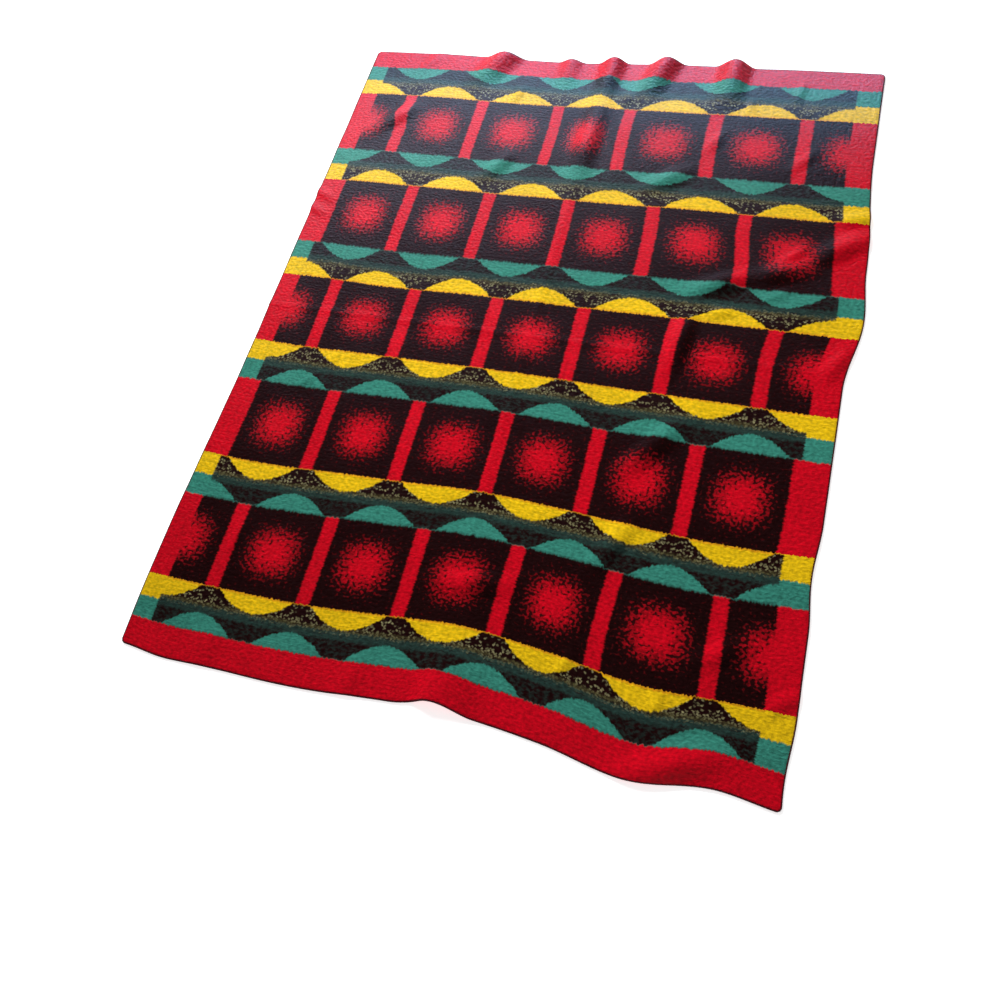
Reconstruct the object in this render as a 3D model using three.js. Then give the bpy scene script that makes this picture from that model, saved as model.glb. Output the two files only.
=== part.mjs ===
// A woven throw blanket laid out on a flat surface, with the soft folds it was left in.
// Millimetres. X runs across the blanket, Y from its near end to its far end, and Z is up.
import * as THREE from 'three';

// The cloth as it was cut
const CLOTH_WIDTH = 1300;
const CLOTH_LENGTH = 1700;
const CLOTH_THICKNESS = 4;
const CORNER_RADIUS = 18;

// The cloth's middle, measured from the middle of the woven pattern
const CLOTH_MIDDLE_X = 4;
const CLOTH_MIDDLE_Y = -3;

// The longest side of one facet
const FACET_SIZE = 32;

// How sharply folds that cross are told apart: 1 adds their heights, more keeps the higher one
const FOLD_CROSSING = 3;

// Soft ridges where the cloth lifts off the surface, measured from the middle of the woven pattern.
// x and y are the middle of the crest, reach is half its length and turn its direction in degrees from +X.
// left and right are how far the ridge's foot reaches on each side of the crest, and height is the crest's.
const FOLDS = [
  { name: 'far ripple 1', x: -275, y: 850, reach: 170, turn: 58, left: 55, right: 55, height: 22 },
  { name: 'far ripple 2', x: -100, y: 850, reach: 120, turn: 88, left: 38, right: 38, height: 13 },
  { name: 'far ripple 3', x: 11, y: 850, reach: 190, turn: 86, left: 45, right: 40, height: 21 },
  { name: 'far ripple 4', x: 144, y: 850, reach: 165, turn: 70, left: 48, right: 48, height: 24 },
  { name: 'far ripple 5', x: 310, y: 850, reach: 180, turn: 88, left: 52, right: 50, height: 25 },
  { name: 'middle crease', x: -2, y: 590, reach: 210, turn: 88, left: 44, right: 46, height: 13 },
  { name: 'left slant', x: -520, y: 612, reach: 112, turn: 45, left: 42, right: 36, height: 9 },
  { name: 'far band, left', x: -206, y: 480, reach: 85, turn: 60, left: 38, right: 35, height: 9 },
  { name: 'far band, right', x: 212, y: 478, reach: 95, turn: 36, left: 38, right: 40, height: 10 },
  { name: 'right edge, upper', x: 640, y: 404, reach: 75, turn: 12, left: 32, right: 28, height: 9 },
  { name: 'long slant, outer', x: 620, y: 322, reach: 115, turn: 36, left: 45, right: 34, height: 11 },
  { name: 'long slant, middle', x: 500, y: 240, reach: 100, turn: 18, left: 40, right: 34, height: 10 },
  { name: 'long slant, inner', x: 380, y: 197, reach: 105, turn: 23, left: 38, right: 34, height: 13 },
  { name: 'long slant, tail', x: 320, y: 34, reach: 120, turn: 84, left: 40, right: 32, height: 12 },
  { name: 'near slant', x: 310, y: -222, reach: 135, turn: 54, left: 38, right: 38, height: 11 },
  { name: 'near band', x: 277, y: -440, reach: 95, turn: 65, left: 36, right: 34, height: 10 },
  { name: 'near crossing', x: 28, y: -572, reach: 130, turn: 8, left: 34, right: 36, height: 9 },
  { name: 'near middle ridge', x: 16, y: -850, reach: 260, turn: 92, left: 50, right: 110, height: 20 },
  { name: 'near corner, slant', x: 457, y: -824, reach: 135, turn: 24, left: 45, right: 38, height: 15 },
  { name: 'near corner, bar', x: 515, y: -606, reach: 95, turn: 33, left: 32, right: 32, height: 8 },
];

// Where the cloth was drawn along the surface as it was spread, measured from the middle of the pattern.
// x and y are the middle of the pull, reachX and reachY how far it is felt, shiftX and shiftY how far it drew.
const PULLS = [
  { name: 'near end drawn in', x: 40, y: -850, reachX: 420, reachY: 620, shiftX: 0, shiftY: 29 },
  { name: 'near ridge drawn in', x: 18, y: -850, reachX: 85, reachY: 140, shiftX: 0, shiftY: 11 },
  { name: 'near left corner drawn in', x: -650, y: -850, reachX: 120, reachY: 120, shiftX: 0, shiftY: 11 },
  { name: 'near left drawn in', x: -390, y: -850, reachX: 230, reachY: 200, shiftX: 0, shiftY: 5 },
  { name: 'near bulge let out', x: 390, y: -850, reachX: 170, reachY: 330, shiftX: 0, shiftY: -11 },
  { name: 'near corner drawn in', x: 530, y: -850, reachX: 160, reachY: 200, shiftX: 0, shiftY: 13 },
  { name: 'near corner tucked in', x: 654, y: -810, reachX: 150, reachY: 120, shiftX: -7, shiftY: 0 },
  { name: 'far end drawn in', x: -110, y: 850, reachX: 330, reachY: 260, shiftX: 0, shiftY: -9 },
  { name: 'gathered by the middle crease', x: 110, y: 610, reachX: 300, reachY: 340, shiftX: -20, shiftY: 0 },
  { name: 'pushed out at the long slant', x: 430, y: 190, reachX: 300, reachY: 200, shiftX: 20, shiftY: 0 },
  { name: 'right edge let out, upper', x: 654, y: 300, reachX: 240, reachY: 270, shiftX: 14, shiftY: 0 },
  { name: 'right edge let out, middle', x: 654, y: 120, reachX: 200, reachY: 150, shiftX: 17, shiftY: 0 },
  { name: 'right edge drawn in', x: 654, y: -430, reachX: 260, reachY: 110, shiftX: -7, shiftY: 0 },
  { name: 'near right drawn in', x: 290, y: -640, reachX: 190, reachY: 230, shiftX: -11, shiftY: 0 },
  { name: 'near left let out', x: -646, y: -620, reachX: 330, reachY: 520, shiftX: -11, shiftY: 0 },
];

const fabric = new THREE.MeshStandardMaterial({ color: 0xb80f2a, roughness: 0.95, metalness: 0 });

// 1 in the middle, falling softly to 0 at a distance of 1 and beyond
function softFall(distance) {
  return Math.abs(distance) < 1 ? 0.5 + 0.5 * Math.cos(Math.PI * distance) : 0;
}

// The height of one fold above the surface, at a place on the surface
function foldHeight(fold, x, y) {
  const angle = THREE.MathUtils.degToRad(fold.turn);
  const along = (x - fold.x) * Math.cos(angle) + (y - fold.y) * Math.sin(angle);
  const across = (y - fold.y) * Math.cos(angle) - (x - fold.x) * Math.sin(angle);
  const foot = across > 0 ? fold.left : fold.right;
  return fold.height * softFall(along / fold.reach) * softFall(across / foot);
}

// The height of the cloth's underside above the surface
function liftAt(x, y) {
  let sum = 0;
  for (const fold of FOLDS) sum += foldHeight(fold, x, y) ** FOLD_CROSSING;
  return sum ** (1 / FOLD_CROSSING);
}

// A point of the flat cloth moved inside the rounded corners
function roundCorner(point) {
  const overX = Math.abs(point.x) - (CLOTH_WIDTH / 2 - CORNER_RADIUS);
  const overY = Math.abs(point.y) - (CLOTH_LENGTH / 2 - CORNER_RADIUS);
  if (overX <= 0 || overY <= 0) return;
  const shrink = Math.max(overX, overY) / Math.hypot(overX, overY);
  point.x -= Math.sign(point.x) * overX * (1 - shrink);
  point.y -= Math.sign(point.y) * overY * (1 - shrink);
}

// A point of the flat cloth moved to where it lies
function layDown(point) {
  roundCorner(point);
  point.x += CLOTH_MIDDLE_X;
  point.y += CLOTH_MIDDLE_Y;
  let { x, y } = point;
  for (const pull of PULLS) {
    const share = softFall((point.x - pull.x) / pull.reachX) * softFall((point.y - pull.y) / pull.reachY);
    x += pull.shiftX * share;
    y += pull.shiftY * share;
  }
  point.set(x, y, liftAt(x, y));
}

// The corners of the grid round its rim, counter-clockwise from the near left corner
function rimOf(columns, rows) {
  const rim = [];
  const corner = (column, row) => row * (columns + 1) + column;
  for (let column = 0; column < columns; column++) rim.push(corner(column, rows));
  for (let row = rows; row > 0; row--) rim.push(corner(columns, row));
  for (let column = columns; column > 0; column--) rim.push(corner(column, 0));
  for (let row = 0; row < rows; row++) rim.push(corner(0, row));
  return rim;
}

// The blanket: one closed sheet, its top face, its underside and the cut edge round them
function blanketGeometry() {
  const columns = Math.ceil(CLOTH_WIDTH / FACET_SIZE);
  const rows = Math.ceil(CLOTH_LENGTH / FACET_SIZE);
  const face = new THREE.PlaneGeometry(CLOTH_WIDTH, CLOTH_LENGTH, columns, rows);
  const count = face.attributes.position.count;
  const points = new Float32Array(2 * count * 3);
  const point = new THREE.Vector3();
  for (let i = 0; i < count; i++) {
    point.fromBufferAttribute(face.attributes.position, i);
    layDown(point);
    point.toArray(points, 3 * (count + i));
    point.z += CLOTH_THICKNESS;
    point.toArray(points, 3 * i);
  }

  const topTriangles = Array.from(face.index.array);
  const triangles = [...topTriangles];
  for (let i = 0; i < topTriangles.length; i += 3) {
    const [a, b, c] = topTriangles.slice(i, i + 3);
    triangles.push(count + a, count + c, count + b);
  }
  const rim = rimOf(columns, rows);
  rim.forEach((here, i) => {
    const next = rim[(i + 1) % rim.length];
    triangles.push(count + here, count + next, next);
    triangles.push(count + here, next, here);
  });

  const sheet = new THREE.BufferGeometry();
  sheet.setAttribute('position', new THREE.BufferAttribute(points, 3));
  sheet.setIndex(triangles);
  sheet.computeBoundingBox();
  const middle = sheet.boundingBox.getCenter(new THREE.Vector3());
  sheet.translate(-middle.x, -middle.y, -sheet.boundingBox.min.z);
  sheet.computeVertexNormals();
  return sheet;
}

const blanket = new THREE.Mesh(blanketGeometry(), fabric);
blanket.name = 'blanket';

const throwBlanket = new THREE.Group();
throwBlanket.add(blanket);
export default throwBlanket;
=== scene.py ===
"""A woven throw blanket laid out on a floor: its napped cloth and its overlocked edge. Metres, +Z up."""
import math

import bpy
import numpy as np
from mathutils import Matrix, Vector


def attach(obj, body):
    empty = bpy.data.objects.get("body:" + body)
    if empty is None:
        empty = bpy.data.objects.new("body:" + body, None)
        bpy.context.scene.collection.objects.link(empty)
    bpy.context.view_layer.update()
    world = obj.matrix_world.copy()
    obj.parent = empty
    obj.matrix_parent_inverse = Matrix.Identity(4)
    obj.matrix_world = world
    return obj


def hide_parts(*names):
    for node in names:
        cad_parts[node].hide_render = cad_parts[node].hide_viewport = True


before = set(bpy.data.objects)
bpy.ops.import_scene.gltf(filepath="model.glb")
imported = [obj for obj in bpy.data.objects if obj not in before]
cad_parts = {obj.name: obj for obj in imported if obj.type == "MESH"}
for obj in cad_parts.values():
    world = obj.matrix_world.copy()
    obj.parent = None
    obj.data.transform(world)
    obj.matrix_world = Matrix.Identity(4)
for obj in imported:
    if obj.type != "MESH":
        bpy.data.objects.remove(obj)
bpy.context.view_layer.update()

# The cloth as it was cut, and where its middle lies from the middle of the woven pattern
CLOTH_WIDTH = 1.300
CLOTH_LENGTH = 1.700
CLOTH_THICKNESS = 0.004
CORNER_RADIUS = 0.009
CLOTH_MIDDLE = (0.004, -0.003)

# The middle of the woven pattern in the frame
PATTERN_MIDDLE = (-0.0104, 0.0072)

# The mesh of the cloth: the side of a facet, and the steps round its rolled edge
FACET = 0.007
EDGE_STEPS = 4
EDGE_BULGE = 0.0015

# The map for baking: the gap round its pieces, and the columns that the edge is cut into
BAKE_MARGIN = 0.004
BAKE_EDGE_COLUMNS = 24

# How sharply folds that cross are told apart: 1 adds their heights, more keeps the higher one
FOLD_CROSSING = 3

# Soft ridges where the cloth lifts off the floor, measured from the middle of the pattern.
# x, y: the middle of the crest; reach: half its length; turn: its direction in degrees from +X;
# left, right: how far its foot reaches on each side of the crest; height: the crest's
FOLD_COLUMNS = ("x", "y", "reach", "turn", "left", "right", "height")
FOLDS = {
    "far ripple 1": (-0.275, 0.850, 0.170, 58, 0.055, 0.055, 0.022),
    "far ripple 2": (-0.100, 0.850, 0.120, 88, 0.038, 0.038, 0.013),
    "far ripple 3": (0.011, 0.850, 0.190, 86, 0.045, 0.040, 0.021),
    "far ripple 4": (0.144, 0.850, 0.165, 70, 0.048, 0.048, 0.024),
    "far ripple 5": (0.310, 0.850, 0.180, 88, 0.052, 0.050, 0.025),
    "middle crease": (-0.002, 0.590, 0.210, 88, 0.044, 0.046, 0.013),
    "left slant": (-0.520, 0.612, 0.112, 45, 0.042, 0.036, 0.009),
    "far band, left": (-0.206, 0.480, 0.085, 60, 0.038, 0.035, 0.009),
    "far band, right": (0.212, 0.478, 0.095, 36, 0.038, 0.040, 0.010),
    "right edge, upper": (0.640, 0.404, 0.075, 12, 0.032, 0.028, 0.009),
    "long slant, outer": (0.620, 0.322, 0.115, 36, 0.045, 0.034, 0.011),
    "long slant, middle": (0.500, 0.240, 0.100, 18, 0.040, 0.034, 0.010),
    "long slant, inner": (0.380, 0.197, 0.105, 23, 0.038, 0.034, 0.013),
    "long slant, tail": (0.320, 0.034, 0.120, 84, 0.040, 0.032, 0.012),
    "near slant": (0.310, -0.222, 0.135, 54, 0.038, 0.038, 0.011),
    "near band": (0.277, -0.440, 0.095, 65, 0.036, 0.034, 0.010),
    "near crossing": (0.028, -0.572, 0.130, 8, 0.034, 0.036, 0.009),
    "near middle ridge": (0.016, -0.850, 0.260, 92, 0.050, 0.110, 0.020),
    "near corner, slant": (0.457, -0.824, 0.135, 24, 0.045, 0.038, 0.015),
    "near corner, bar": (0.515, -0.606, 0.095, 33, 0.032, 0.032, 0.008),
}

# Fine creases between the folds, in the same columns
CREASES = {
    "kept fold, across": (0.000, 0.004, 1.400, 0, 0.011, 0.013, 0.0024),
    "kept fold, along": (-0.004, 0.100, 1.300, 90, 0.014, 0.014, 0.0024),
    "far strip, left": (-0.480, 0.820, 0.060, 50, 0.025, 0.025, 0.004),
    "far band, left nick": (-0.214, 0.722, 0.045, 75, 0.015, 0.015, 0.005),
    "far band, middle nick": (0.066, 0.722, 0.045, 80, 0.016, 0.016, 0.005),
    "far band, inner right": (0.364, 0.720, 0.040, 88, 0.014, 0.014, 0.004),
    "far band, right nick": (0.470, 0.770, 0.050, 80, 0.018, 0.018, 0.005),
    "far row, bar 5": (0.300, 0.600, 0.060, 65, 0.022, 0.020, 0.004),
    "far row, bar 6": (0.505, 0.560, 0.070, 50, 0.022, 0.020, 0.004),
    "left edge, upper": (-0.630, 0.345, 0.060, -25, 0.018, 0.018, 0.004),
    "left edge, lower": (-0.632, 0.296, 0.060, -25, 0.018, 0.018, 0.004),
    "second row, burst": (0.520, 0.290, 0.060, 42, 0.020, 0.018, 0.005),
    "second band, yellow dent": (0.392, 0.124, 0.045, 15, 0.020, 0.022, 0.006),
    "second band, right": (0.500, 0.183, 0.050, 30, 0.018, 0.018, 0.004),
    "middle row, right edge": (0.640, 0.030, 0.075, 62, 0.030, 0.024, 0.007),
    "near band, left nick": (-0.432, -0.118, 0.035, 80, 0.014, 0.014, 0.003),
    "near band, left ridge": (-0.478, -0.187, 0.032, 55, 0.014, 0.014, 0.004),
    "near row, bar 1": (-0.494, -0.580, 0.060, 85, 0.016, 0.014, 0.005),
    "near row, right edge": (0.628, -0.672, 0.060, 37, 0.022, 0.022, 0.006),
    "near ridge, crest": (0.008, -0.840, 0.130, 93, 0.026, 0.050, 0.016),
    "near yellow, middle": (0.240, -0.690, 0.045, 70, 0.016, 0.014, 0.006),
    "near yellow, right": (0.416, -0.722, 0.045, 75, 0.016, 0.014, 0.004),
    "near strip, left": (-0.470, -0.810, 0.080, 80, 0.060, 0.040, 0.004),
    "near strip, middle": (-0.150, -0.800, 0.080, 82, 0.040, 0.030, 0.004),
}

# Where the cloth was drawn along the floor as it was spread, measured from the middle of the pattern.
# x, y: the middle of the pull; reach_x, reach_y: how far it is felt; shift_x, shift_y: how far it drew
PULL_COLUMNS = ("x", "y", "reach_x", "reach_y", "shift_x", "shift_y")
PULLS = {
    "near end drawn in": (0.040, -0.850, 0.420, 0.620, 0, 0.029),
    "near ridge drawn in": (0.018, -0.850, 0.085, 0.140, 0, 0.011),
    "near left corner drawn in": (-0.650, -0.850, 0.120, 0.120, 0, 0.011),
    "near left drawn in": (-0.390, -0.850, 0.230, 0.200, 0, 0.005),
    "near bulge let out": (0.390, -0.850, 0.170, 0.330, 0, -0.011),
    "near corner drawn in": (0.530, -0.850, 0.160, 0.200, 0, 0.013),
    "near corner tucked in": (0.654, -0.810, 0.150, 0.120, -0.007, 0),
    "far end drawn in": (-0.110, 0.850, 0.330, 0.260, 0, -0.009),
    "gathered by the middle crease": (0.110, 0.610, 0.300, 0.340, -0.020, 0),
    "pushed out at the long slant": (0.430, 0.190, 0.300, 0.200, 0.020, 0),
    "right edge let out, upper": (0.654, 0.300, 0.240, 0.270, 0.014, 0),
    "right edge let out, middle": (0.654, 0.120, 0.200, 0.150, 0.017, 0),
    "right edge drawn in": (0.654, -0.430, 0.260, 0.110, -0.007, 0),
    "near right drawn in": (0.290, -0.640, 0.190, 0.230, -0.011, 0),
    "near left let out": (-0.646, -0.620, 0.330, 0.520, -0.011, 0),
}

# Where the weave lies off straight inside those pulls, in the same columns
DRIFTS = {
    "near left rows let down": (-0.520, -0.360, 0.300, 0.460, 0, -0.011),
    "near middle drawn up": (0.000, -0.340, 0.260, 0.460, 0, 0.008),
    "near right rows let down": (0.470, -0.470, 0.300, 0.400, -0.004, -0.009),
    "first bar drawn aside": (-0.505, 0.620, 0.060, 0.045, -0.010, 0),
    "near middle gathered": (0.050, -0.660, 0.160, 0.200, -0.006, 0.003),
    "second band let down, left": (-0.360, 0.130, 0.220, 0.160, 0.001, -0.006),
    "long slant gathered": (0.440, 0.180, 0.180, 0.120, -0.005, -0.003),
    "second row drawn up": (0.280, 0.300, 0.150, 0.150, 0.001, 0.009),
    "second row let out": (0.390, 0.420, 0.120, 0.100, 0.005, 0),
    "far left drawn up": (-0.500, 0.580, 0.340, 0.400, 0.002, 0.007),
    "first row drawn to the crease": (-0.110, 0.580, 0.120, 0.240, 0.009, -0.001),
    "first row gathered, right": (0.320, 0.600, 0.220, 0.220, -0.004, 0),
}

# Slow unevenness of a cloth that isn't quite flat: direction in degrees, wavelength, height and phase
RUMPLES = (
    (17, 0.230, 0.0007, 0.4),
    (74, 0.170, 0.0006, 1.9),
    (121, 0.131, 0.0005, 3.1),
    (48, 0.097, 0.0004, 5.0),
)

# The woven layout, from the middle row outwards, and how soft the change of colour is at an edge
REPEAT = 0.200
MIDDLE_ROW_HEIGHT = 0.189
ROW_HEIGHT = 0.195
BAND_HEIGHT = 0.102
PATTERN_HALF_WIDTH = 0.600
END_STRIP_START = 0.7900
COLOUR_EDGE = 0.0022

# How far the weft and the warp end early or late at a change of colour
WEFT_RAGGED = 0.0070
WARP_RAGGED = 0.0080

# Bars and burst squares, as shares of a repeat: a burst's core and its ring start to fade, and end, there
BAR_SHARE = 0.147
BAR_EDGE = 0.014
BURST_ROUNDNESS = 2.6
CORE_EDGE = (0.11, 0.19)
CORE_RAGGED = 0.10
RING_EDGE = (0.10, 0.42)
RING_GLOW = 0.08

# The flecks of a ring: how many tufts take them, how soft they are, and how light they are with their tuft
# and towards the middle
FLECK_SHARE = 1.06
FLECK_EDGE = (-0.12, 0.22)
FLECK_PLAIN = 0.60
FLECK_WITH_TUFT = 0.40
FLECK_OUTERMOST = 0.08
FLECK_INWARD = 0.84

# Scallops: their foot and depth, and how wide, in repeats, and how full the domes and the bowls are
SCALLOP_ROOT = 0.0015
SCALLOP_DEPTH = 0.0395
DOME_HALF_WIDTH = 0.40
DOME_FULLNESS = 1.9
BOWL_HALF_WIDTH = 0.385
BOWL_FULLNESS = 1.8

# The foot of a scallop, red under a dome and slate under a bowl: how far it reaches, and its tint
DOME_FOOT = (0.001, 0.006)
DOME_FOOT_TINT = 0.40
BOWL_FOOT = (0.001, 0.005)
BOWL_FOOT_TINT = 0.55

# The dots of a band: their spacing and scatter, their soft edge, the share of places that hold one, at the
# band's inner edge and added over the band, and how light they are, plainly and by chance
DOT_ACROSS = 0.0066
DOT_ALONG = 0.0058
DOT_SCATTER = 0.85
DOT_EDGE = (0.24, 0.52)
DOT_INNER_SHARE = 0.14
DOT_ADDED_SHARE = 1.6
DOT_SHARE_EDGE = (-0.05, 0.1)
DOT_PLAIN = 0.3
DOT_BY_CHANCE = 0.5

# The smudges of a band's outer half
SMUDGE_EDGE = (0.38, 0.66)
SMUDGE_TINT = 0.40

# The two lines of a band: how far they lie from its inner edge, their half widths, where their streaks
# begin, and how light they are, plainly and with the smudges or dots
OLIVE_LINE = 0.0415
OLIVE_EDGE = (0.002, 0.007)
OLIVE_STREAKS = (0.25, 0.55)
OLIVE_PLAIN = 0.45
OLIVE_WITH_DOTS = 0.45
SLATE_LINE = 0.054
SLATE_EDGE = (0.006, 0.013)
SLATE_STREAKS = (0.18, 0.45)
SLATE_PLAIN = 0.68
SLATE_WITH_SMUDGES = 0.16

# Chance patterns in the cloth: their size across and along it, where they start, their detail and roughness
GRAIN_COLUMNS = ("across", "along", "start", "detail", "roughness")
GRAINS = {
    "weft ends": (0.050, 0.0042, 0, 1.0, 0.5),
    "warp ends": (0.0052, 0.030, 0, 1.0, 0.5),
    "tufts": (0.0068, 0.0062, 0, 0.5, 0.5),
    "tuft shades": (0.0076, 0.0064, 40, 0.8, 0.5),
    "fuzz": (0.0060, 0.0022, 0, 3.0, 0.6),
    "brushed streaks": (0.018, 0.0030, 0, 2.0, 0.5),
    "worn patches": (0.110, 0.090, 0, 2.0, 0.5),
    "rib wander": (0.022, 0.016, 0, 2.0, 0.5),
    "rib breaks": (0.030, 0.011, 0, 1.0, 0.5),
    "smudges": (0.010, 0.006, 0, 1.5, 0.5),
    "line streaks": (0.045, 0.0035, 0, 2.0, 0.5),
    "lint": (0.004, 0.004, 0, 2.0, 0.5),
}

# How strongly tufts differ from each other, in sorting the colours and in shade: how high each stands in the
# nap's bump and how much lighter its colour is painted
TUFT_SORTING = 2.4
TUFT_SHADING = 2.2

# The weft ribs under the nap: their spacing, how far they wander, and where they break up
RIB_PITCH = 0.0086
RIB_WANDER = 0.016
RIB_BREAK = (0.30, 0.62)

# How light the dyes are by themselves, and how much each grain lightens them: the worn patches as a tone
# that differs at random, the ribs as painted highlight on their crests and painted shade in their troughs,
# and the tufts and the brushed streaks partly as a random tone and partly as painted highlight
PLAIN_SHADE = 0.55
TUFT_TONE_AND_PAINTED_HIGHLIGHT = 0.32
STREAK_TONE_AND_PAINTED_HIGHLIGHT = 0.42
PATCH_SHADE = 0.24
RIB_PAINTED_SHADE = 0.10

# How high the nap stands, and how much each grain raises it
NAP_HEIGHT = 0.0016
NAP_STRENGTH = 0.8
RIB_RISE = 0.24
FUZZ_RISE = 0.60
TUFT_RISE = 0.50

# Dyes, as linear colours
RED = (0.635, 0.0006, 0.011)
BLACK = (0.0144, 0.0025, 0.0027)
GREEN = (0.040, 0.245, 0.182)
YELLOW = (0.860, 0.540, 0.005)
SLATE = (0.022, 0.056, 0.046)
OLIVE = (0.085, 0.075, 0.028)
KHAKI = (0.370, 0.340, 0.165)
THREAD = (0.085, 0.005, 0.010)

# The overlocked edge: its stitches, which lean by chance in radians, and the strip in the thread's colour
STITCH_PITCH = 0.0022
STITCH_BITE = 0.0018
STITCH_PROUD = 0.0002
THREAD_RADIUS = 0.0005
THREAD_TWIST = 0.0009
THREADED_WIDTH = 0.0011
THREADED_RAGGED = 0.003
STITCH_STEPS = 7
THREAD_SIDES = 4
STITCH_LEAN_LEAST = (0.30, -0.10, -0.12)
STITCH_LEAN_MOST = (0.62, 0.10, 0.12)
STITCH_SEED = 7

# The camera, from the middle of the pattern, and its lens on a 36 mm sensor
CAMERA_PLACE = (0.4882, -1.0358, 1.5990)
CAMERA_RIGHT = (0.95194, 0.25738, -0.16602)
CAMERA_UP = (-0.17039, 0.89547, 0.41121)
CAMERA_LENS = 31.65
CAMERA_SENSOR = 36.0
CAMERA_NEAREST = 0.01
CAMERA_FARTHEST = 50.0

# Lamps: where they stand, where they look, size, beam spread in degrees, power, colour and what they light
LAMP_COLUMNS = ("place", "target", "size", "spread", "power", "colour", "lights")
LAMPS = {
    "window": ((-2.2, 2.6, 2.6), (-0.02, 0.20, 0), (1.8, 1.8), 52, 27.6, (0.97, 0.98, 1.0), "colours"),
    "far_glow": ((-0.25, 1.42, 0.44), (0, 0.75, 0), (2.4, 0.3), 40, 5.3, (0.62, 0.76, 1.02), "gloss"),
    "end_glow": ((-0.10, 1.42, 0.44), (-0.10, 0.98, 0), (2.4, 0.3), 30, 6.4, (0.38, 0.95, 1.70), "gloss"),
}
SKY_COLOUR = (1.0, 0.99, 0.98)
SKY_STRENGTH = 0.24

# The floor: half its side, how far it lies under the cloth, and the light it gives of itself
FLOOR_REACH = 8.0
FLOOR_DROP = 0.0006
FLOOR_LIGHT = 0.70


def soft_fall(distance):
    """1 in the middle, falling softly to 0 at a distance of 1 and beyond."""
    return np.where(np.abs(distance) < 1, 0.5 + 0.5 * np.cos(np.pi * distance), 0.0)


def fold_height(fold, x, y):
    """The height of one fold above the floor."""
    f = dict(zip(FOLD_COLUMNS, fold))
    angle = math.radians(f["turn"])
    along = (x - f["x"]) * math.cos(angle) + (y - f["y"]) * math.sin(angle)
    across = (y - f["y"]) * math.cos(angle) - (x - f["x"]) * math.sin(angle)
    foot = np.where(across > 0, f["left"], f["right"])
    return f["height"] * soft_fall(along / f["reach"]) * soft_fall(across / foot)


def lift(x, y):
    """The height of the cloth's underside above the floor."""
    total = np.zeros_like(x)
    for fold in (*FOLDS.values(), *CREASES.values()):
        total += fold_height(fold, x, y) ** FOLD_CROSSING
    height = total ** (1 / FOLD_CROSSING)
    for turn, wavelength, rise, phase in RUMPLES:
        angle = math.radians(turn)
        run = x * math.cos(angle) + y * math.sin(angle)
        height += rise * (0.5 + 0.5 * np.sin(2 * np.pi * run / wavelength + phase))
    return height


def round_corners(across, along):
    """Points of the flat cloth, moved inside its rounded corners."""
    over_x = np.abs(across) - (CLOTH_WIDTH / 2 - CORNER_RADIUS)
    over_y = np.abs(along) - (CLOTH_LENGTH / 2 - CORNER_RADIUS)
    corner = (over_x > 0) & (over_y > 0)
    reach = np.hypot(over_x, over_y)
    shrink = np.where(corner, np.maximum(over_x, over_y) / np.where(corner, reach, 1), 1)
    across = across - np.sign(across) * np.where(corner, over_x * (1 - shrink), 0)
    along = along - np.sign(along) * np.where(corner, over_y * (1 - shrink), 0)
    return across, along


def lay_down(across, along):
    """Where points of the flat cloth lie: x, y and the underside's height, from the pattern's middle."""
    across, along = round_corners(across, along)
    across = across + CLOTH_MIDDLE[0]
    along = along + CLOTH_MIDDLE[1]
    x, y = across.copy(), along.copy()
    for pull in (*PULLS.values(), *DRIFTS.values()):
        p = dict(zip(PULL_COLUMNS, pull))
        share = soft_fall((across - p["x"]) / p["reach_x"]) * soft_fall((along - p["y"]) / p["reach_y"])
        x += p["shift_x"] * share
        y += p["shift_y"] * share
    return x, y, lift(x, y)


def middle_surface(across, along):
    """Points halfway through the cloth, and the way its face looks there, in the frame."""
    step = FACET / 4

    def spot(a, b):
        x, y, z = lay_down(a, b)
        return np.stack([x + PATTERN_MIDDLE[0], y + PATTERN_MIDDLE[1], z + CLOTH_THICKNESS / 2], -1)

    here = spot(across, along)
    inward_x = np.where(across > 0, -step, step)
    inward_y = np.where(along > 0, -step, step)
    tangent_x = (spot(across + inward_x, along) - here) / inward_x[..., None]
    tangent_y = (spot(across, along + inward_y) - here) / inward_y[..., None]
    normal = np.cross(tangent_x, tangent_y)
    normal /= np.linalg.norm(normal, axis=-1, keepdims=True)
    return here, normal


def new_object(name, points, faces):
    """A mesh object at the origin, with smooth faces."""
    mesh = bpy.data.meshes.new(name)
    mesh.from_pydata(points.tolist(), [], faces.tolist())
    mesh.polygons.foreach_set("use_smooth", np.ones(len(mesh.polygons), bool))
    mesh.update()
    piece = bpy.data.objects.new(name, mesh)
    bpy.context.scene.collection.objects.link(piece)
    return piece


def grid_faces(columns, rows):
    """The quads of a grid of corners, counter-clockwise seen from above."""
    corner = np.arange((columns + 1) * (rows + 1)).reshape(rows + 1, columns + 1)
    quads = [corner[:-1, :-1], corner[:-1, 1:], corner[1:, 1:], corner[1:, :-1]]
    return np.stack(quads, -1).reshape(-1, 4)


def grid_rim(columns, rows):
    """The grid's corners round its rim, counter-clockwise from the near left one."""
    corner = np.arange((columns + 1) * (rows + 1)).reshape(rows + 1, columns + 1)
    return np.concatenate([corner[0, :-1], corner[:-1, -1], corner[-1, :0:-1], corner[:0:-1, 0]])


def flat_grid():
    """The flat cloth's corners, row by row from the near end, with the grid's columns and rows."""
    columns = math.ceil(CLOTH_WIDTH / FACET)
    rows = math.ceil(CLOTH_LENGTH / FACET)
    across = np.linspace(-CLOTH_WIDTH / 2, CLOTH_WIDTH / 2, columns + 1)
    along = np.linspace(-CLOTH_LENGTH / 2, CLOTH_LENGTH / 2, rows + 1)
    across, along = (grid.ravel() for grid in np.meshgrid(across, along))
    return across, along, columns, rows


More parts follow.
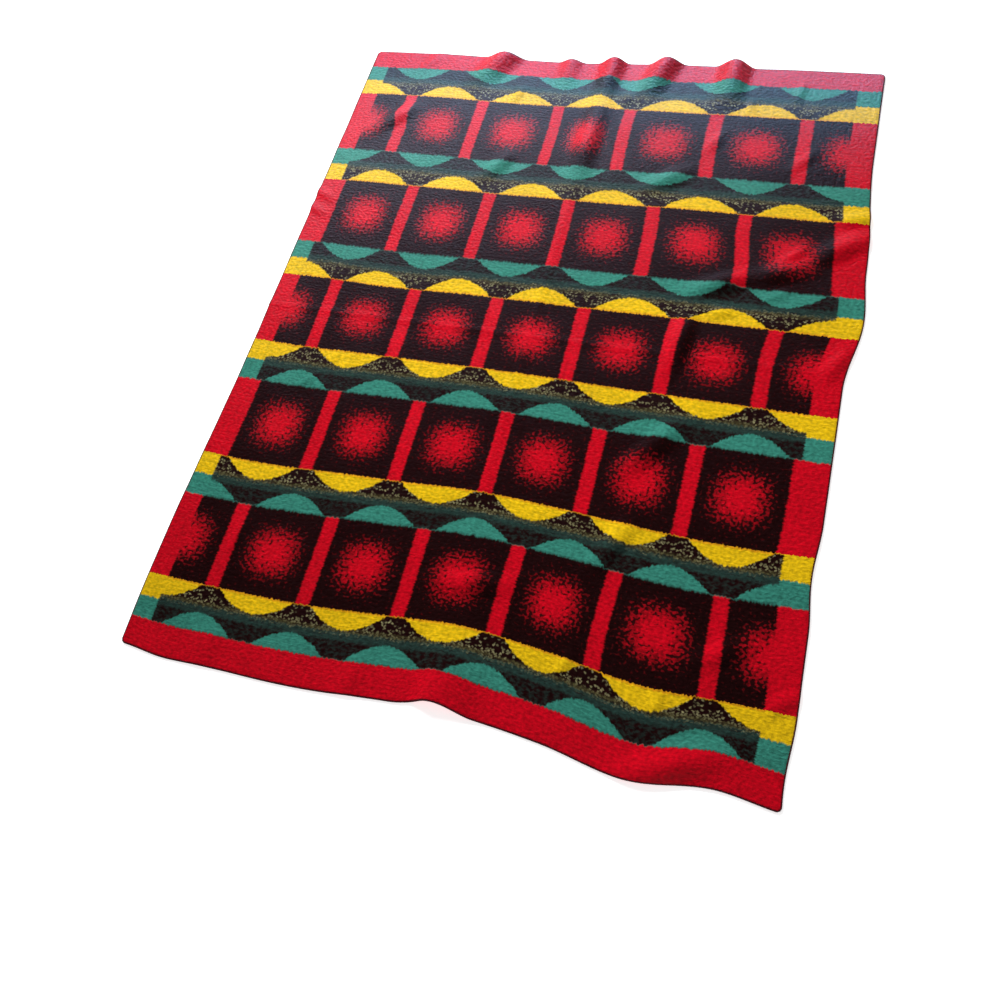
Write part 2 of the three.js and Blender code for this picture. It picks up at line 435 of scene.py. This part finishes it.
def outward_along(rim_points, rim_normals):
    """The level way out of the cloth at each point of its rim."""
    ahead = np.roll(rim_points, -1, 0) - np.roll(rim_points, 1, 0)
    out = np.cross(ahead, rim_normals)
    return out / np.linalg.norm(out, axis=1, keepdims=True)


def make_cloth():
    """The blanket: its face, its back and the rolled edge between them, as one closed sheet."""
    across, along, columns, rows = flat_grid()
    here, normal = middle_surface(across, along)
    face = here + normal * CLOTH_THICKNESS / 2
    back = here - normal * CLOTH_THICKNESS / 2
    count = len(here)
    rim = grid_rim(columns, rows)
    out = outward_along(here[rim], normal[rim])

    points = [face, back]
    loops = [rim]
    for step in range(1, EDGE_STEPS):
        turn = math.pi * step / EDGE_STEPS
        height = CLOTH_THICKNESS / 2 * math.cos(turn)
        points.append(here[rim] + normal[rim] * height + out * EDGE_BULGE * math.sin(turn))
        loops.append(2 * count + (step - 1) * len(rim) + np.arange(len(rim)))
    loops.append(count + rim)

    quads = grid_faces(columns, rows)
    faces = [quads, count + quads[:, ::-1]]
    for upper, lower in zip(loops, loops[1:]):
        faces.append(np.stack([upper, lower, np.roll(lower, -1), np.roll(upper, -1)], -1))
    piece = new_object("blanket_cloth", np.concatenate(points), np.concatenate(faces))

    edge_across = np.tile(across[rim], EDGE_STEPS - 1)
    edge_along = np.tile(along[rim], EDGE_STEPS - 1)
    flat = np.stack([np.concatenate([across, across, edge_across]),
                     np.concatenate([along, along, edge_along])], -1)
    add_flat_map(piece.data, flat)
    add_bake_map(piece.data, flat, len(quads))
    return piece


def corner_points(mesh):
    """The point that each face corner of a mesh uses."""
    corners = np.zeros(len(mesh.loops), np.int32)
    mesh.loops.foreach_get("vertex_index", corners)
    return corners


def add_flat_map(mesh, flat):
    """A map of the flat cloth in metres from the middle of the pattern, which the weave follows."""
    layer = mesh.uv_layers.new(name="cloth")
    places = flat[corner_points(mesh)] + np.array(CLOTH_MIDDLE)
    layer.data.foreach_set("uv", places.astype(np.float32).ravel())


def add_bake_map(mesh, flat, face_quads):
    """A map with no overlaps: the face takes most of it, the back and the edge the strip beside it."""
    face_scale = (1 - 2 * BAKE_MARGIN) / CLOTH_LENGTH
    strip = 3 * BAKE_MARGIN + face_scale * CLOTH_WIDTH
    strip_width = 1 - strip - BAKE_MARGIN
    back_scale = strip_width / CLOTH_WIDTH
    places = flat[corner_points(mesh)] + np.array((CLOTH_WIDTH / 2, CLOTH_LENGTH / 2))
    face = slice(0, 4 * face_quads)
    back = slice(4 * face_quads, 8 * face_quads)
    mapped = np.empty_like(places)
    mapped[face] = places[face] * face_scale + BAKE_MARGIN
    mapped[back] = places[back] * back_scale + (strip, BAKE_MARGIN)

    # The edge is cut into columns above the back, each as wide as the steps round the edge
    edge_low = 2 * BAKE_MARGIN + back_scale * CLOTH_LENGTH
    corners = np.arange(8 * face_quads, len(places)).reshape(EDGE_STEPS, -1, 4)
    turns = corners.shape[1]
    length = math.ceil(turns / BAKE_EDGE_COLUMNS)
    column, row = np.divmod(np.arange(turns), length)
    cell_x = strip_width / (BAKE_EDGE_COLUMNS * (EDGE_STEPS + 1))
    cell_y = (1 - edge_low - BAKE_MARGIN) / (length + 1)
    for step in range(EDGE_STEPS):
        left = strip + (column * (EDGE_STEPS + 1) + step) * cell_x
        low = edge_low + row * cell_y
        for corner, (right, up) in enumerate(((0, 0), (1, 0), (1, 1), (0, 1))):
            mapped[corners[step, :, corner]] = np.stack([left + right * cell_x, low + up * cell_y], -1)
    layer = mesh.uv_layers.new(name="OFBake")
    layer.data.foreach_set("uv", mapped.astype(np.float32).ravel())


class Amount:
    """A number that varies over a finish: a socket on which Python's operators add Math nodes."""

    def __init__(self, finish, socket):
        self.finish = finish
        self.socket = socket

    def sum(self, operation, *others):
        inputs = {i: item for i, item in enumerate((self, *others))}
        return self.finish.node("ShaderNodeMath", {"operation": operation}, inputs)

    def reversed_sum(self, operation, other):
        return self.finish.node("ShaderNodeMath", {"operation": operation}, {0: other, 1: self})

    def __add__(self, other):
        return self.sum("ADD", other)

    def __radd__(self, other):
        return self.reversed_sum("ADD", other)

    def __sub__(self, other):
        return self.sum("SUBTRACT", other)

    def __rsub__(self, other):
        return self.reversed_sum("SUBTRACT", other)

    def __mul__(self, other):
        return self.sum("MULTIPLY", other)

    def __rmul__(self, other):
        return self.reversed_sum("MULTIPLY", other)

    def __truediv__(self, other):
        return self.sum("DIVIDE", other)

    def __rtruediv__(self, other):
        return self.reversed_sum("DIVIDE", other)

    def __pow__(self, other):
        return self.sum("POWER", other)

    def __abs__(self):
        return self.sum("ABSOLUTE")

    def floor(self):
        return self.sum("FLOOR")

    def part(self):
        return self.sum("FRACT")

    def sine(self):
        return self.sum("SINE")

    def least(self, other):
        return self.sum("MINIMUM", other)

    def most(self, other):
        return self.sum("MAXIMUM", other)

    def rises(self, low, high):
        """0 below low, 1 above high, and soft between."""
        sockets = {"Value": self, "From Min": low, "From Max": high}
        return self.finish.node("ShaderNodeMapRange", {"interpolation_type": "SMOOTHSTEP"}, sockets)

    def over(self, edge, soft=COLOUR_EDGE):
        """1 where this is past an edge, with a soft change of that width."""
        return (self - edge).rises(-soft, soft)


class Finish:
    """A material whose nodes are added one by one."""

    def __init__(self, name):
        self.material = bpy.data.materials.new(name)
        self.material.use_nodes = True
        self.tree = self.material.node_tree
        self.shader = self.tree.nodes["Principled BSDF"]

    def node(self, kind, settings=None, sockets=None, output=0):
        """Adds a node, sets its settings and then its sockets, and gives one of its outputs."""
        node = self.tree.nodes.new(kind)
        for name, setting in (settings or {}).items():
            setattr(node, name, setting)
        for name, item in (sockets or {}).items():
            self.feed(node.inputs[name], item)
        return Amount(self, node.outputs[output])

    def feed(self, socket, item):
        """Links or sets one socket."""
        if isinstance(item, Amount):
            self.tree.links.new(item.socket, socket)
        elif socket.type == "RGBA":
            socket.default_value = (*item, 1)
        else:
            socket.default_value = item

    def dress(self, inputs):
        """Links or sets the shader's inputs."""
        for name, item in inputs.items():
            self.feed(self.shader.inputs[name], item)

    def blend(self, share, first, second):
        """The first colour, turning into the second as share goes from 0 to 1."""
        return self.node("ShaderNodeMix", {"data_type": "RGBA"}, {0: share, 6: first, 7: second}, 2)

    def shade(self, colour, strength):
        """A colour made lighter or darker by a factor."""
        settings = {"data_type": "RGBA", "blend_type": "MULTIPLY"}
        grey = self.node("ShaderNodeCombineColor", None, {0: strength, 1: strength, 2: strength})
        return self.node("ShaderNodeMix", settings, {0: 1.0, 6: colour, 7: grey}, 2)

    def place(self, across, along):
        """A point of the flat cloth as a vector."""
        return self.node("ShaderNodeCombineXYZ", None, {"X": across, "Y": along})

    def grain(self, name, across, along):
        """One of the chance patterns in the cloth, round 0.5."""
        g = dict(zip(GRAIN_COLUMNS, GRAINS[name]))
        place = self.place(across / g["across"] + g["start"], along / g["along"])
        sockets = {"Vector": place, "Scale": 1.0, "Detail": g["detail"], "Roughness": g["roughness"]}
        return self.node("ShaderNodeTexNoise", {"noise_dimensions": "2D"}, sockets)

    def cells(self, across, along, randomness=1.0):
        """Cells one unit across: the distance from the middle of each, and two chance values of its own."""
        sockets = {"Vector": self.place(across, along), "Scale": 1.0, "Randomness": randomness}
        distance = self.node("ShaderNodeTexVoronoi", {"voronoi_dimensions": "2D"}, sockets)
        chance = Amount(self, distance.socket.node.outputs["Color"])
        first = self.node("ShaderNodeSeparateColor", None, {0: chance}, 0)
        second = self.node("ShaderNodeSeparateColor", None, {0: chance}, 1)
        return distance, first, second


def burst_square(finish, across, along, tuft, tuft_shade):
    """A square, at a place from its middle in repeats: red, breaking up outwards into flecks on black."""
    reach = (abs(across) ** BURST_ROUNDNESS + abs(along) ** BURST_ROUNDNESS) ** (1 / BURST_ROUNDNESS)
    core = 1 - (reach + (tuft - 0.5) * CORE_RAGGED).rises(*CORE_EDGE)
    ring = 1 - reach.rises(*RING_EDGE)
    flecks = (ring * FLECK_SHARE - tuft).rises(*FLECK_EDGE)
    flecks = flecks * (tuft_shade * FLECK_WITH_TUFT + FLECK_PLAIN) * (ring * FLECK_INWARD + FLECK_OUTERMOST)
    glow = ring * ring * RING_GLOW
    return finish.blend(core.most(flecks).most(glow), BLACK, RED)


def band_ground(finish, across, along, depth, outer_half):
    """The ground of a band: black with khaki dots, an olive line, a slate line, black with slate smudges."""
    dot, dot_chance, dot_shade = finish.cells(across / DOT_ACROSS, along / DOT_ALONG, DOT_SCATTER)
    dots = 1 - dot.rises(*DOT_EDGE)
    dot_share = depth / BAND_HEIGHT * DOT_ADDED_SHARE + DOT_INNER_SHARE
    khaki_dots = dots * (dot_share - dot_chance).rises(*DOT_SHARE_EDGE)
    dotted = finish.blend(khaki_dots * (dot_shade * DOT_BY_CHANCE + DOT_PLAIN), BLACK, KHAKI)
    smudge = finish.grain("smudges", across, along).rises(*SMUDGE_EDGE)
    smudged = finish.blend(smudge * SMUDGE_TINT, BLACK, SLATE)
    ground = finish.blend(outer_half, dotted, smudged)
    streak = finish.grain("line streaks", across, along)
    slate = (1 - abs(depth - SLATE_LINE).rises(*SLATE_EDGE)) * streak.rises(*SLATE_STREAKS)
    ground = finish.blend(slate * (smudge * SLATE_WITH_SMUDGES + SLATE_PLAIN), ground, SLATE)
    olive = (1 - abs(depth - OLIVE_LINE).rises(*OLIVE_EDGE)) * streak.rises(*OLIVE_STREAKS)
    return finish.blend(olive * (dots * OLIVE_WITH_DOTS + OLIVE_PLAIN), ground, OLIVE)


def scallop(from_middle, half_width, fullness):
    """How deep a scallop reaches into a band, at a place from its middle in repeats."""
    return SCALLOP_ROOT + (1 - (abs(from_middle) / half_width) ** fullness).most(0) * SCALLOP_DEPTH


def woven_colours(finish, across, along, tuft, tuft_shade):
    """The woven pattern: rows of burst squares between bars, and scalloped bands between the rows."""
    # Each pick of weft ends a little early or late, so every colour's edge is ragged
    ragged_across = finish.grain("weft ends", across, along) - 0.5
    ragged_along = finish.grain("warp ends", across, along) - 0.5
    across = across + ragged_across * WEFT_RAGGED
    along = along + ragged_along * WARP_RAGGED

    # Rows and bands mirror about the middle row, and each band belongs with the row outside it
    step = ROW_HEIGHT + BAND_HEIGHT
    outward = abs(along) - MIDDLE_ROW_HEIGHT / 2
    order = (outward / step).floor()
    depth = outward - order * step
    in_row = depth.over(BAND_HEIGHT)
    half_repeat = (abs(order) * 0.5 + 0.5).part()
    from_square = (across / REPEAT + half_repeat + 0.5).part() - 0.5
    from_inner_square = (across / REPEAT + half_repeat).part() - 0.5
    in_margin = abs(across).over(PATTERN_HALF_WIDTH)

    # A row: squares between red bars
    from_middle = (depth - BAND_HEIGHT - ROW_HEIGHT / 2) / REPEAT
    square = burst_square(finish, from_square, from_middle, tuft, tuft_shade)
    bar = abs(from_square).over(0.5 - BAR_SHARE / 2, BAR_EDGE)
    row = finish.blend(bar, square, RED)

    # A band: yellow domes over the inner row's squares, green bowls against the outer row's squares
    outer_half = depth.over(BAND_HEIGHT / 2)
    ground = band_ground(finish, across, along, depth, outer_half)
    yellow = (scallop(from_inner_square, DOME_HALF_WIDTH, DOME_FULLNESS) - depth).over(0)
    foot = 1 - depth.rises(*DOME_FOOT)
    band = finish.blend(yellow, ground, finish.blend(foot * DOME_FOOT_TINT, YELLOW, RED))
    green = (scallop(from_square, BOWL_HALF_WIDTH, BOWL_FULLNESS) - (BAND_HEIGHT - depth)).over(0)
    foot = 1 - (BAND_HEIGHT - depth).rises(*BOWL_FOOT)
    band = finish.blend(green, band, finish.blend(foot * BOWL_FOOT_TINT, GREEN, SLATE))

    # The side margins are plain, and so is the strip at each end
    row = finish.blend(in_margin, row, RED)
    band = finish.blend(in_margin, band, finish.blend(outer_half, YELLOW, GREEN))
    cloth = finish.blend(in_row, band, row)
    return finish.blend(abs(along).over(END_STRIP_START), cloth, RED)


def blanket_finish():
    """Napped jacquard cloth: the woven colours, brushed streaks partly painted as highlights, wavy weft ribs
    with painted shade in their troughs and painted highlight on their crests, and a soft sheen.
    """
    finish = Finish("napped_blanket_cloth")
    flat = finish.node("ShaderNodeUVMap", {"uv_map": "cloth"})
    across = finish.node("ShaderNodeSeparateXYZ", None, {0: flat}, 0)
    along = finish.node("ShaderNodeSeparateXYZ", None, {0: flat}, 1)

    # Tufts of nap a few millimetres across: one chance value that sorts the colours, and one that both
    # raises each tuft in the bump and paints it lighter, partly a random tone and partly a painted highlight
    # on the raised tufts
    tuft = (finish.grain("tufts", across, along) - 0.5) * TUFT_SORTING + 0.5
    tuft_shade = (finish.grain("tuft shades", across, along) - 0.5) * TUFT_SHADING + 0.5

    # Weft ribs that wander and break up, with the nap raised over them
    wander = (finish.grain("rib wander", across, along) - 0.5) * RIB_WANDER
    broken = finish.grain("rib breaks", across, along).rises(*RIB_BREAK)
    rib = (((along + wander) * (2 * math.pi / RIB_PITCH)).sine() * 0.5 + 0.5) * broken
    fuzz = finish.grain("fuzz", across, along)
    height = rib * RIB_RISE + fuzz * FUZZ_RISE + tuft_shade * TUFT_RISE
    bump = finish.node("ShaderNodeBump", None, {
        "Strength": NAP_STRENGTH, "Distance": NAP_HEIGHT, "Height": height})

    # The dyes, lighter and darker with the nap: painted highlight on the rib crests and the raised tufts,
    # painted shade in the rib troughs and tones that differ at random; and the thread's colour along the cut
    # edge
    # The brushed streaks lighten the dyes partly as a random tone of the pile and partly as painted
    # highlight on the nap
    brushed_tone_and_highlight = finish.grain("brushed streaks", across, along)
    worn = finish.grain("worn patches", across, along) - 0.5
    # Painted light: the rib crests and the raised tufts are painted lighter over the same bump that raises
    # them, and the rib troughs darker
    shade = PLAIN_SHADE + tuft_shade * TUFT_TONE_AND_PAINTED_HIGHLIGHT + brushed_tone_and_highlight * STREAK_TONE_AND_PAINTED_HIGHLIGHT
    shade = shade + worn * PATCH_SHADE + rib * RIB_PAINTED_SHADE
    colour = finish.shade(woven_colours(finish, across, along, tuft, tuft_shade), shade)
    from_side = CLOTH_WIDTH / 2 - abs(across - CLOTH_MIDDLE[0])
    from_end = CLOTH_LENGTH / 2 - abs(along - CLOTH_MIDDLE[1])
    from_edge = from_side.least(from_end) + (fuzz - 0.5) * THREADED_RAGGED
    threaded = 1 - from_edge.over(THREADED_WIDTH, THREAD_RADIUS)

    finish.dress({
        "Base Color": finish.blend(threaded, colour, THREAD),
        "Roughness": 0.47 + brushed_tone_and_highlight * 0.14,
        "Normal": bump,
        "Specular IOR Level": 0.14,
        "Sheen Weight": 0.006,
        "Sheen Roughness": 0.30,
        "Sheen Tint": (1.0, 0.90, 0.97),
    })
    return finish.material


def thread_finish():
    """Dark twisted sewing thread."""
    finish = Finish("overlock_thread")
    spot = finish.node("ShaderNodeTexCoord", None, None, 3)
    across = finish.node("ShaderNodeSeparateXYZ", None, {0: spot}, 0)
    along = finish.node("ShaderNodeSeparateXYZ", None, {0: spot}, 1)
    lint = finish.grain("lint", across, along)
    twist = ((across + along) * (2 * math.pi / THREAD_TWIST)).sine() * 0.5 + 0.5
    bump = finish.node("ShaderNodeBump", None, {"Strength": 0.5, "Distance": 0.0002, "Height": twist})
    finish.dress({
        "Base Color": finish.shade(THREAD, 0.5 + lint),
        "Roughness": 0.62 + lint * 0.2,
        "Normal": bump,
        "Specular IOR Level": 0.3,
    })
    return finish.material


def edge_line():
    """The cloth's rim as a closed line of points, with the ways out of the cloth and up from it."""
    across, along, columns, rows = flat_grid()
    here, normal = middle_surface(across, along)
    rim = grid_rim(columns, rows)
    out = outward_along(here[rim], normal[rim])
    mesh = bpy.data.meshes.new("edge_line")
    count = len(rim)
    edges = np.stack([np.arange(count), (np.arange(count) + 1) % count], -1)
    mesh.from_pydata(here[rim].tolist(), edges.tolist(), [])
    for name, vectors in (("outward", out), ("upward", normal[rim])):
        attribute = mesh.attributes.new(name, "FLOAT_VECTOR", "POINT")
        attribute.data.foreach_set("vector", vectors.astype(np.float32).ravel())
    line = bpy.data.objects.new("edge_line", mesh)
    bpy.context.scene.collection.objects.link(line)
    return line


class Recipe:
    """A Geometry Nodes tree, with its inputs named and its nodes added one by one."""

    def __init__(self, name, inputs):
        self.tree = bpy.data.node_groups.new(name, "GeometryNodeTree")
        self.tree.interface.new_socket("Geometry", in_out="INPUT", socket_type="NodeSocketGeometry")
        self.names = {}
        for title, kind in inputs.items():
            socket = self.tree.interface.new_socket(title, in_out="INPUT", socket_type=kind)
            self.names[title] = socket.identifier
        self.tree.interface.new_socket("Geometry", in_out="OUTPUT", socket_type="NodeSocketGeometry")
        self.given = self.tree.nodes.new("NodeGroupInput")
        self.result = self.tree.nodes.new("NodeGroupOutput")

    def node(self, kind, settings=None, sockets=None, output=0):
        """Adds a node, sets its settings and then its sockets, and gives one of its outputs."""
        node = self.tree.nodes.new(kind)
        for name, setting in (settings or {}).items():
            setattr(node, name, setting)
        for name, item in (sockets or {}).items():
            if isinstance(item, bpy.types.NodeSocket):
                self.tree.links.new(item, node.inputs[name])
            else:
                node.inputs[name].default_value = item
        return node.outputs[output]

    def vector(self, title):
        """A vector stored on the points under that name."""
        return self.node("GeometryNodeInputNamedAttribute", {"data_type": "FLOAT_VECTOR"}, {"Name": title})

    def finish(self, geometry):
        self.tree.links.new(geometry, self.result.inputs[0])

    def apply(self, piece, name, values):
        """Runs the recipe on an object and gives a new object that holds the plain mesh."""
        modifier = piece.modifiers.new(self.tree.name, "NODES")
        modifier.node_group = self.tree
        for title, value in values.items():
            modifier[self.names[title]] = value
        bpy.context.view_layer.update()
        made = piece.evaluated_get(bpy.context.evaluated_depsgraph_get())
        mesh = bpy.data.meshes.new_from_object(made)
        mesh.name = name
        piece.modifiers.remove(modifier)
        done = bpy.data.objects.new(name, mesh)
        bpy.context.scene.collection.objects.link(done)
        return done


def stitch_recipe():
    """Slanted thread loops that wrap the cloth's edge, one after another along it."""
    inputs = {
        "Pitch": "NodeSocketFloat",
        "Reach": "NodeSocketFloat",
        "Bite": "NodeSocketFloat",
        "Half height": "NodeSocketFloat",
        "Thread radius": "NodeSocketFloat",
        "Seed": "NodeSocketInt",
        "Thread": "NodeSocketMaterial",
    }
    recipe = Recipe("overlock_stitches", inputs)
    given = recipe.given.outputs
    line = recipe.node("GeometryNodeMeshToCurve", None, {"Mesh": given["Geometry"]})
    line = recipe.node("GeometryNodeResampleCurve", {"mode": "LENGTH"}, {
        "Curve": line, "Length": given["Pitch"]})

    # One stitch: half an ellipse round the edge, from the face to the back
    arc = recipe.node("GeometryNodeCurveArc", {"mode": "RADIUS"}, {
        "Resolution": STITCH_STEPS, "Radius": 1.0, "Start Angle": -math.pi / 2, "Sweep Angle": math.pi})
    squeeze = recipe.node("ShaderNodeCombineXYZ", None, {
        "X": given["Reach"], "Y": given["Half height"], "Z": 1.0})
    inward = recipe.node("ShaderNodeMath", {"operation": "MULTIPLY"}, {0: given["Bite"], 1: -1.0})
    start = recipe.node("ShaderNodeCombineXYZ", None, {"X": inward})
    arc = recipe.node("GeometryNodeTransform", None, {
        "Geometry": arc, "Translation": start, "Scale": squeeze})
    ring = recipe.node("GeometryNodeCurvePrimitiveCircle", {"mode": "RADIUS"}, {
        "Resolution": THREAD_SIDES, "Radius": given["Thread radius"]})
    stitch = recipe.node("GeometryNodeCurveToMesh", None, {
        "Curve": arc, "Profile Curve": ring, "Fill Caps": True})
    stitch = recipe.node("GeometryNodeTransform", None, {
        "Geometry": stitch, "Rotation": (math.pi / 2, 0.0, 0.0)})

    # Every stitch leans a little, each by its own amount
    lean = recipe.node("FunctionNodeRandomValue", {"data_type": "FLOAT_VECTOR"}, {
        "Min": STITCH_LEAN_LEAST, "Max": STITCH_LEAN_MOST, "Seed": given["Seed"]})
    turn = recipe.node("FunctionNodeAxesToRotation", {"primary_axis": "X", "secondary_axis": "Z"}, {
        0: recipe.vector("outward"), 1: recipe.vector("upward")})
    lean = recipe.node("FunctionNodeEulerToRotation", None, {0: lean})
    turn = recipe.node("FunctionNodeRotateRotation", {"rotation_space": "LOCAL"}, {0: turn, 1: lean})
    stitches = recipe.node("GeometryNodeInstanceOnPoints", None, {
        "Points": line, "Instance": stitch, "Rotation": turn})
    stitches = recipe.node("GeometryNodeRealizeInstances", None, {0: stitches})
    stitches = recipe.node("GeometryNodeSetShadeSmooth", None, {0: stitches})
    recipe.finish(recipe.node("GeometryNodeSetMaterial", None, {0: stitches, "Material": given["Thread"]}))
    return recipe


def make_stitches(thread):
    """The overlocked edge all the way round the blanket."""
    line = edge_line()
    stitches = stitch_recipe().apply(line, "overlock_stitches", {
        "Pitch": STITCH_PITCH,
        "Reach": STITCH_BITE + EDGE_BULGE + STITCH_PROUD,
        "Bite": STITCH_BITE,
        "Half height": CLOTH_THICKNESS / 2 + STITCH_PROUD,
        "Thread radius": THREAD_RADIUS,
        "Seed": STITCH_SEED,
        "Thread": thread,
    })
    bpy.data.objects.remove(line)
    press_on_floor(stitches.data)
    return stitches


def press_on_floor(mesh):
    """Thread under the cloth's edge is pressed flat where it lies on the floor."""
    points = np.zeros(3 * len(mesh.vertices), np.float32)
    mesh.vertices.foreach_get("co", points)
    points[2::3] = np.maximum(points[2::3], 0)
    mesh.vertices.foreach_set("co", points)
    mesh.update()


def make_floor():
    """A plain pale floor."""
    points = np.array([(-1, -1, 0), (1, -1, 0), (1, 1, 0), (-1, 1, 0)]) * FLOOR_REACH
    floor = new_object("floor", points - np.array((0, 0, FLOOR_DROP)), np.array([(0, 1, 2, 3)]))
    finish = Finish("pale_floor")
    finish.dress({
        "Base Color": (0.90, 0.90, 0.90),
        "Roughness": 0.9,
        "Specular IOR Level": 0.1,
        "Emission Color": (1.0, 1.0, 1.0),
        "Emission Strength": FLOOR_LIGHT,
    })
    floor.data.materials.append(finish.material)


def make_lamp(name, lamp):
    """A soft oblong lamp that looks at a point and lights either the colours or the gloss."""
    settings = dict(zip(LAMP_COLUMNS, lamp))
    light = bpy.data.lights.new(name, "AREA")
    light.shape = "RECTANGLE"
    light.size, light.size_y = settings["size"]
    light.spread = math.radians(settings["spread"])
    light.energy = settings["power"]
    light.color = settings["colour"]
    holder = bpy.data.objects.new(name, light)
    holder.location = settings["place"]
    look = Vector(settings["target"]) - Vector(settings["place"])
    holder.rotation_euler = look.to_track_quat("-Z", "Y").to_euler()
    holder.visible_camera = False
    holder.visible_diffuse = settings["lights"] == "colours"
    holder.visible_glossy = settings["lights"] == "gloss"
    bpy.context.scene.collection.objects.link(holder)


def light_the_scene():
    """Window-like light from beyond the far left corner, its glare on the far end, and a soft even fill."""
    for name, lamp in LAMPS.items():
        make_lamp(name, lamp)
    world = bpy.data.worlds.new("studio")
    world.use_nodes = True
    sky = world.node_tree.nodes["Background"]
    sky.inputs["Color"].default_value = (*SKY_COLOUR, 1)
    sky.inputs["Strength"].default_value = SKY_STRENGTH
    world.cycles_visibility.glossy = False
    bpy.context.scene.world = world
    bpy.context.scene.view_settings.view_transform = "Standard"


def make_camera():
    """The camera at the photograph's place and angle."""
    camera = bpy.data.cameras.new("camera")
    camera.sensor_width = CAMERA_SENSOR
    camera.lens = CAMERA_LENS
    camera.clip_start = CAMERA_NEAREST
    camera.clip_end = CAMERA_FARTHEST
    right, up = Vector(CAMERA_RIGHT).normalized(), Vector(CAMERA_UP).normalized()
    back = right.cross(up)
    turn = Matrix((right, up, back)).transposed().to_4x4()
    holder = bpy.data.objects.new("camera", camera)
    place = Vector(CAMERA_PLACE) + Vector((*PATTERN_MIDDLE, 0))
    holder.matrix_world = Matrix.Translation(place) @ turn
    bpy.context.scene.collection.objects.link(holder)
    bpy.context.scene.camera = holder


make_camera()
light_the_scene()
make_floor()

cloth = make_cloth()
cloth.data.materials.append(blanket_finish())
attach(cloth, "root")
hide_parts("blanket")

stitches = make_stitches(thread_finish())
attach(stitches, "root")
